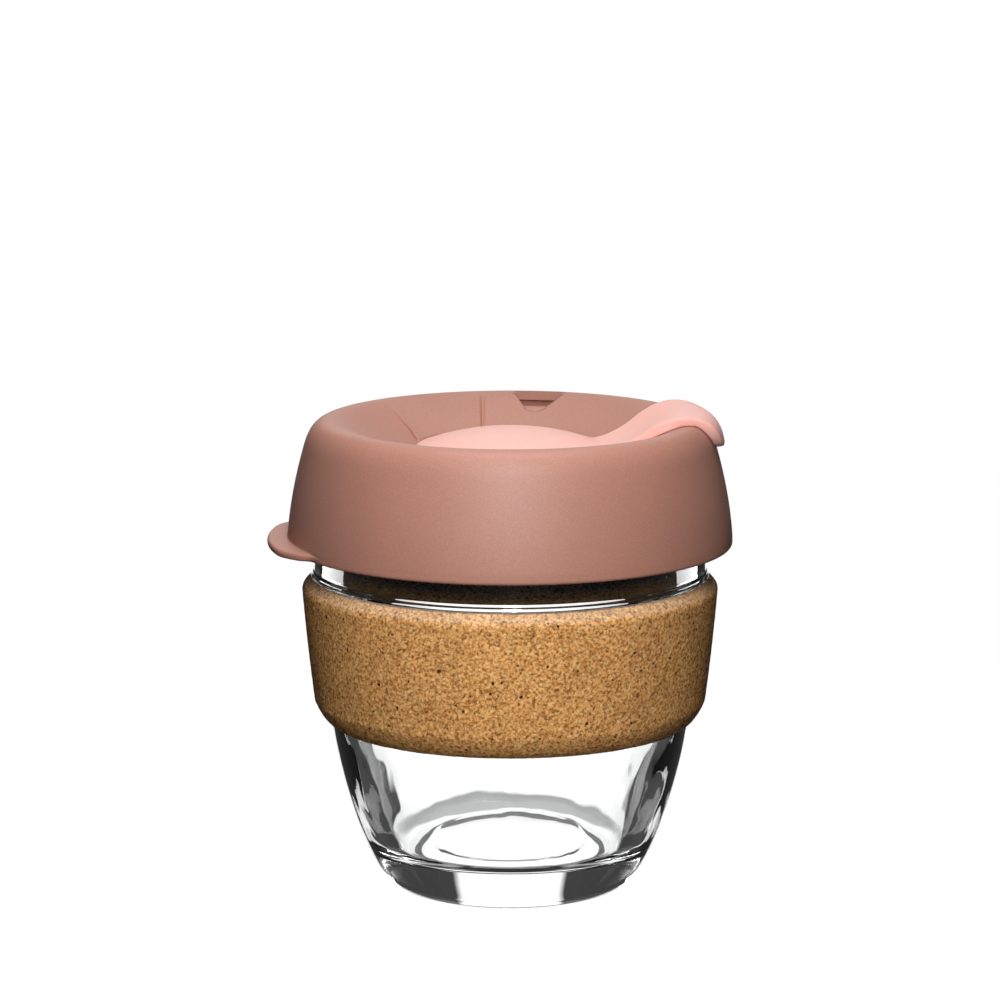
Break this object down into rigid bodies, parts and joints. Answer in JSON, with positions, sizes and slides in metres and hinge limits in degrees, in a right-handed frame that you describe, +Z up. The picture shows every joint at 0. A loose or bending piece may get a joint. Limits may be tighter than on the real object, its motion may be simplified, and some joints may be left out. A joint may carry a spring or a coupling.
{
  "type": "travel cup",
  "caption": "Thick-walled glass travel cup with a cork grip band, a press-on lid with a thumb tab, and a turning domed plug that covers the sip hole.",
  "frame": {"origin": "centre of the foot ring on the table plane", "axes": "+Z up along the cup's axis; +X towards the plug's arm, near enough, and -X towards the thumb tab; +Y towards the sip hole"},
  "size_m": [0.092, 0.088, 0.0953],
  "materials": {
    "clear_glass": "clear, polished",
    "cork": "sanded pressed cork, uncoated",
    "lid_plastic": "fine matte",
    "plug_rubber": "soft matte"
  },
  "bodies": {
    "cup": {"glass_cup": "clear_glass"},
    "band": {"cork_band": "cork"},
    "lid_body": {"lid": "lid_plastic"},
    "plug_body": {"plug": "plug_rubber"}
  },
  "joints": [
    {"name": "lid_lift", "type": "slide", "parent": "cup", "child": "lid_body", "axis": [0, 0, 1], "range_m": [0, 0.055]},
    {"name": "plug_turn", "type": "hinge", "parent": "lid_body", "child": "plug_body", "pos_m": [0, 0, 0.087], "axis": [0, 0, 1], "range_deg": [-186, 76]},
    {"name": "band_slide", "type": "slide", "parent": "cup", "child": "band", "axis": [0, 0, -1], "range_m": [0, 0.031]}
  ]
}
